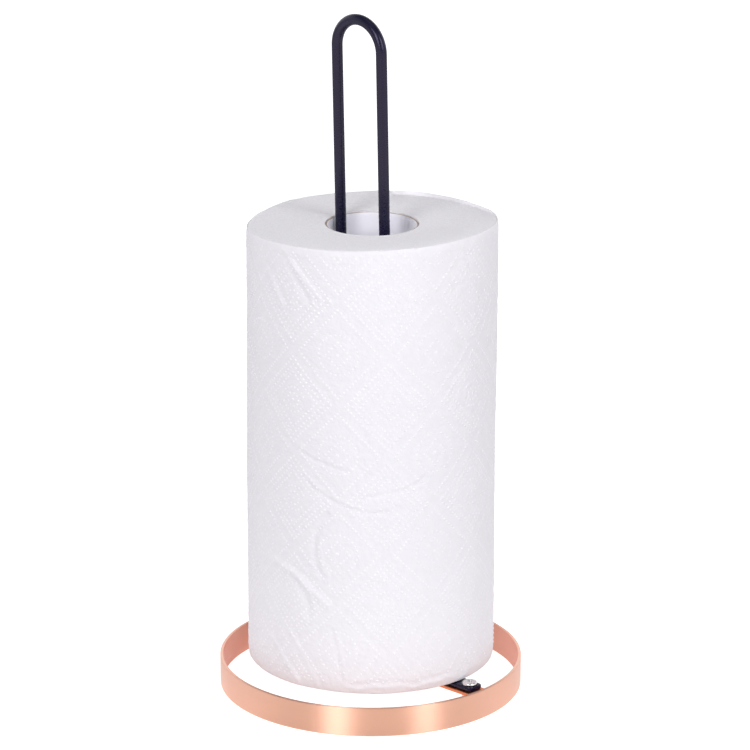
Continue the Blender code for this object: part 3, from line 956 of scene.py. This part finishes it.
# Creases as (degrees from the front, millimetres above the table) points, height and width in mm; a
# negative height is a valley
CREASES = (
    (((-35, 147.1), (-26, 142.9), (-9.5, 138.0)), -0.40, 0.9),
    (((-30, 130.9), (-21.7, 123.5), (-12.6, 120.8), (-2.3, 116.0), (6.4, 117.3)), -0.44, 0.9),
    (((-2.3, 124.8), (7.9, 126.8), (17.5, 129.5), (25.3, 135.4)), -0.34, 0.8),
    (((-20.2, 114.2), (-24.9, 104.6), (-26.6, 95.5), (-24.9, 85.1), (-22.6, 80.3)), -0.55, 1.6),
    (((-50.6, 83), (-34.3, 76.1), (-20.2, 64.7)), 0.60, 2.0),
    (((-38.9, 76.7), (-30.8, 67.1), (-29.9, 57.5)), -0.55, 1.9),
    (((-18.2, 51.6), (-15.5, 40.4), (-13.2, 27.1)), -0.45, 1.0),
    (((-52, 40.3), (-43, 31.5), (-35.3, 22.9)), 0.50, 1.3),
    (((-40, 46), (-31, 34), (-25, 22.3)), 0.32, 1.2),
    (((-33.5, 48.6), (-25.1, 52.1)), 0.30, 0.7),
    (((-53.8, 236.6), (-44.1, 221)), 0.60, 1.7),
    (((-43.4, 246), (-29.5, 226)), -0.50, 1.5),
    (((-39, 244), (-23.7, 227.8)), 0.45, 1.4),
    (((40.1, 229.2), (52.1, 214.2)), -0.42, 1.3),
    (((44, 243.8), (56, 221.8)), 0.34, 1.4),
    (((36, 205), (50, 178)), 0.30, 1.6),
    (((19.5, 252.8), (19.6, 242.8)), -0.35, 0.6),
    (((150, 211.8), (158, 171.8), (151, 131.8)), -0.45, 1.5),
    (((-150, 117.8), (-165, 81.8), (-172, 43.8)), -0.45, 1.4),
    (((-128, 226.8), (-140, 197.8)), 0.40, 1.6),
)


def near_line(along, up, points):
    """Signed distance from points on the unrolled sheet to a smooth line through a few points."""
    degree = min(len(points) - 1, 3)
    curves = np.polyfit(np.linspace(0, 1, len(points)), np.array(points), degree)
    fine = np.linspace(0, 1, 15)
    line_along = np.radians(np.polyval(curves[:, 0], fine)) * roll_radius
    line_up = np.polyval(curves[:, 1], fine) / 1000
    signed = np.full(len(along), 1.0)
    inside = np.full(len(along), True)
    for places, line in ((along, line_along), (up, line_up)):
        inside &= (places > line.min() - CREASE_REACH) & (places < line.max() + CREASE_REACH)
    near = np.flatnonzero(inside)
    nearest = np.full(len(near), 1.0)
    for i in range(len(fine) - 1):
        step = np.array([line_along[i + 1] - line_along[i], line_up[i + 1] - line_up[i]])
        off = np.column_stack([along[near] - line_along[i], up[near] - line_up[i]])
        share = np.clip(off @ step / (step @ step), 0, 1)
        away = np.hypot(*(off - share[:, None] * step).T)
        side = np.where(off @ np.array([-step[1], step[0]]) < 0, -1, 1)
        nearest = np.where(away < np.abs(nearest), away * side, nearest)
    signed[near] = nearest
    return signed


def tile_edge(along, up):
    """How far a point is from the middle of its diamond tile: 1 at the tile's edge."""
    across = (along - TILE_TURN * roll_radius) / tile_half_width
    rows = (up + roll_foot - TILE_HEIGHT) / TILE_HALF_HEIGHT
    first, second = (across + rows) / 2, (across - rows) / 2
    return np.maximum(np.abs(first - np.round(first)), np.abs(second - np.round(second))) * 2


def relief(turn, height):
    """How far the outer sheet stands off a true cylinder."""
    along, up = turn * roll_radius, height - roll_foot
    off = sum(size * np.sin(waves * turn + climb * up + start) for size, waves, climb, start in WAVES)
    off += 0.00005 * np.sin(17 * turn + 95 * up) * np.sin(61 * up + 1)
    edge = tile_edge(along, up)
    off += QUILTING * np.cos(math.pi * edge)
    off += RIDGE * np.exp(-((edge - RIDGE_SHARE) * tile_half_width / RIDGE_WIDTH) ** 2)
    for points, rise, width in CREASES:
        away = near_line(along, height, points) * 1000 / width
        off += rise / 1000 * (np.exp(-away ** 2) - 0.45 * np.exp(-(away - 1.7) ** 2))
    since_tail = ((TAIL - turn) / (2 * math.pi)) % 1.0
    off -= SHEET_THICKNESS * since_tail
    off -= PERFORATION_DEPTH * np.exp(-((turn - PERFORATION) * roll_radius / PERFORATION_WIDTH) ** 2)
    return off


def lip(turn, height):
    """The folded foot of the sheet in front: how far the fold stands out."""
    span = smooth_step((turn - LIP_FROM) / 0.12) * smooth_step((LIP_TO - turn) / 0.2)
    line = LIP_HEIGHT + 0.0006 * np.sin(turn * 13) + 0.0004 * np.sin(turn * 29 + 1)
    above = height - roll_foot - line
    fold = np.exp(-(above / LIP_WIDTH) ** 2) - 0.9 * np.exp(-(above / LIP_WIDTH - 2) ** 2)
    return LIP_OUT * span * fold


def stand_proud(turn):
    """The stretch at the back where the last turns stand above the others, as a share."""
    behind = turn % (2 * math.pi)
    return smooth_step((PROUD_FROM - behind) / PROUD_START) * smooth_step((behind - PROUD_TO) / PROUD_FADE)


def head_wave(turn):
    """The uneven head of the last turns."""
    wave = HEAD_WAVE * (np.sin(turn * 7 + 0.5) + 0.6 * np.sin(turn * 16 + 2) + 0.4 * np.sin(turn * 31))
    for middle, width, depth in NICKS:
        wave -= depth * np.exp(-((turn - math.radians(middle)) / width) ** 2)
    return wave


def shape_sheet(co):
    """Bring the rows nearest the loose end close together, then add the relief, the fold and the head."""
    turn, radius, height = to_round(co)
    edge_gap = (turn - TAIL) * roll_radius
    step = 2 * math.pi / SHEET_STEPS * roll_radius
    snapped = TAIL + np.where(edge_gap >= 0, 0.0001, -0.0001) / roll_radius
    turn = np.where(np.abs(edge_gap) < step * 0.75, snapped, turn)
    outside = radius > roll_radius - OUTER_TURNS / 2
    near_head = smooth_step(1 - (roll_head - height) / HEAD_REACH)
    shift = relief(turn, height) + lip(turn, height)
    radius = radius + np.where(outside, shift - HEAD_PULLED_IN * near_head ** 4, 0)
    return settle(turn, radius, height + head_wave(turn) * near_head)


def make_sheet_paper():
    """The paper of the outer sheet, with the small dashes of its perforations painted darker as painted shade
    in the slits.
    """
    material, tree, shader, place = make_paper("kitchen_paper", PAPER, 220.0, 0.012, 0.00045)
    rounds = add_node(tree, "ShaderNodeGroup", {"node_tree": round_group}, Vector=place).outputs
    away = do_math(tree, "ABSOLUTE", do_math(tree, "SUBTRACT", rounds["Turn"], PERFORATION))
    on_line = map_range(tree, away, 0.0022, 0.0034, 1.0, 0.0)
    steps_up = do_math(tree, "FRACT", do_math(tree, "MULTIPLY", rounds["Height"], DASHES))
    dash = do_math(tree, "GREATER_THAN", steps_up, 1 - DASH_SHARE)
    # Painted shade in the perforation's slits.
    slit_shade = do_math(tree, "MULTIPLY", do_math(tree, "MULTIPLY", on_line, dash), DASH_SHADE)
    keep = do_math(tree, "SUBTRACT", 1.0, slit_shade)
    dimmed = add_node(tree, "ShaderNodeVectorMath", {"operation": "SCALE"}, Scale=keep)
    plug_in(tree, dimmed.inputs[0], shader.inputs["Base Color"].links[0].from_socket)
    plug_in(tree, shader.inputs["Base Color"], dimmed.outputs["Vector"])
    return material


sheet_paper = make_sheet_paper()
bm = bmesh.new()
sheet_inner = roll_radius - OUTER_TURNS
outline(bm, [(sheet_inner, roll_foot, 0), (roll_radius, roll_foot, SHEET_EDGE),
             (roll_radius, roll_head, SHEET_EDGE), (sheet_inner, roll_head, 0)], segments=2)
add_rows(bm, roll_radius, SHEET_ROWS)
spin_round(bm, SHEET_STEPS)
reshape(bm, shape_sheet)
add_piece("outer_sheet", bm, sheet_paper, "paper", "roll_paper", "paper_roll", sharp=70)


# --- Wound layers --------------------------------------------------------------------------------
# The turns inside the last one, seen on end: some sixty soft edges side by side that stand unevenly high,
# lower than the last turns on the right at the back.

LAYER_PITCH = 0.00062
LAYER_STEPS = 240
LAYER_DEPTH = 0.00016
LAYER_GRAIN = 0.00003
LAYER_LIFT = 0.00003
SUNK_FROM, SUNK_OVER = 0.040, 0.020
END_PAPER = (0.905, 0.90, 0.912, 1)

layer_count = round((sheet_inner - bore_radius) / LAYER_PITCH)
layer_outer = sheet_inner - 0.0002
rng = np.random.default_rng(7)
layer_lift = rng.normal(0, LAYER_LIFT, layer_count + 2)


def shape_layers(co):
    """Raise each turn's edge by its own amount, with a furrow on either side."""
    turn, radius, height = to_round(co)
    share = (radius - bore_radius) / (layer_outer - bore_radius)
    which = np.clip(np.round(share * layer_count), 0, layer_count + 1).astype(int)
    valley = np.abs(share * layer_count - which) > 0.25
    lift = layer_lift[which] + rng.normal(0, LAYER_GRAIN, len(turn)) - np.where(valley, LAYER_DEPTH, 0)
    inner_part = (share > 0.004) & (share < 0.996)
    lift = np.where(inner_part, lift, 0)
    at_head = height > roll_middle
    sunk = PROUD * stand_proud(turn) * smooth_step((radius - SUNK_FROM) / SUNK_OVER)
    height = height + np.where(at_head, lift - sunk, -lift)
    return settle(turn, radius, height)


end_paper = make_paper("paper_edges", END_PAPER, 900.0, 0.06, 0.00030)[0]
bm = bmesh.new()
outline(bm, [(bore_radius, roll_foot, 0), (layer_outer, roll_foot, 0),
             (layer_outer, roll_head, 0), (bore_radius, roll_head, 0)])
level = [e for e in bm.edges if abs(e.verts[0].co.z - e.verts[1].co.z) < 1e-6]
bmesh.ops.subdivide_edges(bm, edges=level, cuts=2 * layer_count - 1)
spin_round(bm, LAYER_STEPS)
reshape(bm, shape_layers)
add_piece("wound_layers", bm, end_paper, "paper", "roll_paper", sharp=80)


# --- Embossing -----------------------------------------------------------------------------------
# The steel roller that joins the two plies leaves rows of small raised dots: diamonds that meet corner to
# corner, in turn round a ring with a small diamond in it and round two smaller diamonds with two arcs.

DOT_RADIUS = 0.00062
DOT_HEIGHT = 0.00028
DOT_SPREAD = 0.00009
DOT_PITCH = 0.0023
DOT_SINK = 0.00006
EDGE_MARGIN = 0.0026
FOOT_MARGIN = 0.00404
# Painted highlight: the dots' paper is lighter than the sheet's, for the light their tops catch.
DOT_PAPER_HIGHLIGHT = (0.945, 0.936, 0.95, 1)


def diamond_dots(share):
    """Dots along a diamond that is a share of the tile's size."""
    width, height = tile_half_width * share, TILE_HALF_HEIGHT * share
    count = round(math.hypot(width, height) / DOT_PITCH)
    corners = ((width, 0), (0, height), (-width, 0), (0, -height), (width, 0))
    dots = []
    for (x0, y0), (x1, y1) in zip(corners, corners[1:]):
        dots += [(x0 + (x1 - x0) * i / count, y0 + (y1 - y0) * i / count, 1.0) for i in range(count)]
    return dots


def arc_dots(radius, start, end, count):
    turns = [math.radians(start + (end - start) * i / count) for i in range(count)]
    return [(radius * math.cos(a), radius * math.sin(a), 1.0) for a in turns]


RING_MOTIF = diamond_dots(0.85) + arc_dots(0.0103, 0, 360, 26) + diamond_dots(0.25) + [(0, 0, 1.6)]
FRAME_MOTIF = diamond_dots(0.85)
DIAMOND_MOTIF = diamond_dots(0.70) + diamond_dots(0.545)
EYE_MOTIF = (arc_dots(0.0066, 20, 160, 7) + arc_dots(0.0066, 200, 340, 7) + arc_dots(0.0034, 0, 360, 9)
             + [(0, 0, 1.2)])


def dome():
    """A low round dot of unit radius, closed underneath."""
    bm = bmesh.new()
    bmesh.ops.create_uvsphere(bm, u_segments=8, v_segments=4, radius=1)
    bmesh.ops.bisect_plane(bm, geom=everything(bm), plane_co=(0, 0, 0), plane_no=(0, 0, -1), clear_outer=True)
    bmesh.ops.holes_fill(bm, edges=[e for e in bm.edges if e.is_boundary], sides=0)
    bmesh.ops.recalc_face_normals(bm, faces=bm.faces[:])
    mesh = bpy.data.meshes.new("dome")
    bm.to_mesh(mesh)
    bm.free()
    return mesh


def tile_middles(odd):
    """The middles of the even or odd diamonds, as (along, up) on the unrolled sheet."""
    shift = tile_half_width if odd else 0
    for row in range(-2, 5):
        up = TILE_HEIGHT - roll_foot + (2 * row + (1 if odd else 0)) * TILE_HALF_HEIGHT
        for column in range(TILE_COUNT):
            yield TILE_TURN * roll_radius + shift + column * 2 * tile_half_width, up


def stamp_dots(name, motif, odd):
    """Lay a motif's dots on every even or odd tile and wrap them round the roll."""
    template = dome()
    unit = np.array([v.co for v in template.vertices])
    spots = [(along + x, up + y, size) for along, up in tile_middles(odd) for x, y, size in motif
             if FOOT_MARGIN < up + y < roll_head - roll_foot - EDGE_MARGIN]
    along, up, size = np.array(spots).T
    along, up = along + rng.normal(0, DOT_SPREAD, len(along)), up + rng.normal(0, DOT_SPREAD, len(up))
    rise = DOT_HEIGHT * rng.uniform(0.55, 1.15, len(up))
    turn = (along / roll_radius + math.pi) % (2 * math.pi) - math.pi
    height = up + roll_foot
    stand = relief(turn, height)
    bm = bmesh.new()
    for dot_turn, dot_height, dot_stand, dot_size, dot_rise in zip(turn, height, stand, size, rise):
        flat = unit * (DOT_RADIUS * dot_size, DOT_RADIUS * dot_size, dot_rise)
        place = settle(dot_turn + flat[:, 0] / roll_radius, roll_radius + dot_stand + flat[:, 2] - DOT_SINK,
                       dot_height + flat[:, 1])
        template.vertices.foreach_set("co", place.astype(np.float32).ravel())
        bm.from_mesh(template, face_normals=False, vertex_normals=False)
    bmesh.ops.recalc_face_normals(bm, faces=bm.faces[:])
    add_piece(name, bm, dot_paper_highlight, "paper", "roll_paper", sharp=80)


# The dots get the lighter paper, a painted highlight.
dot_paper_highlight = make_paper("embossed_dots", DOT_PAPER_HIGHLIGHT, 220.0, 0.01, 0.0001)[0]
stamp_dots("emboss_rings", RING_MOTIF, False)
stamp_dots("emboss_frames", FRAME_MOTIF, True)
stamp_dots("emboss_diamonds", DIAMOND_MOTIF, True)
stamp_dots("emboss_eyes", EYE_MOTIF, True)
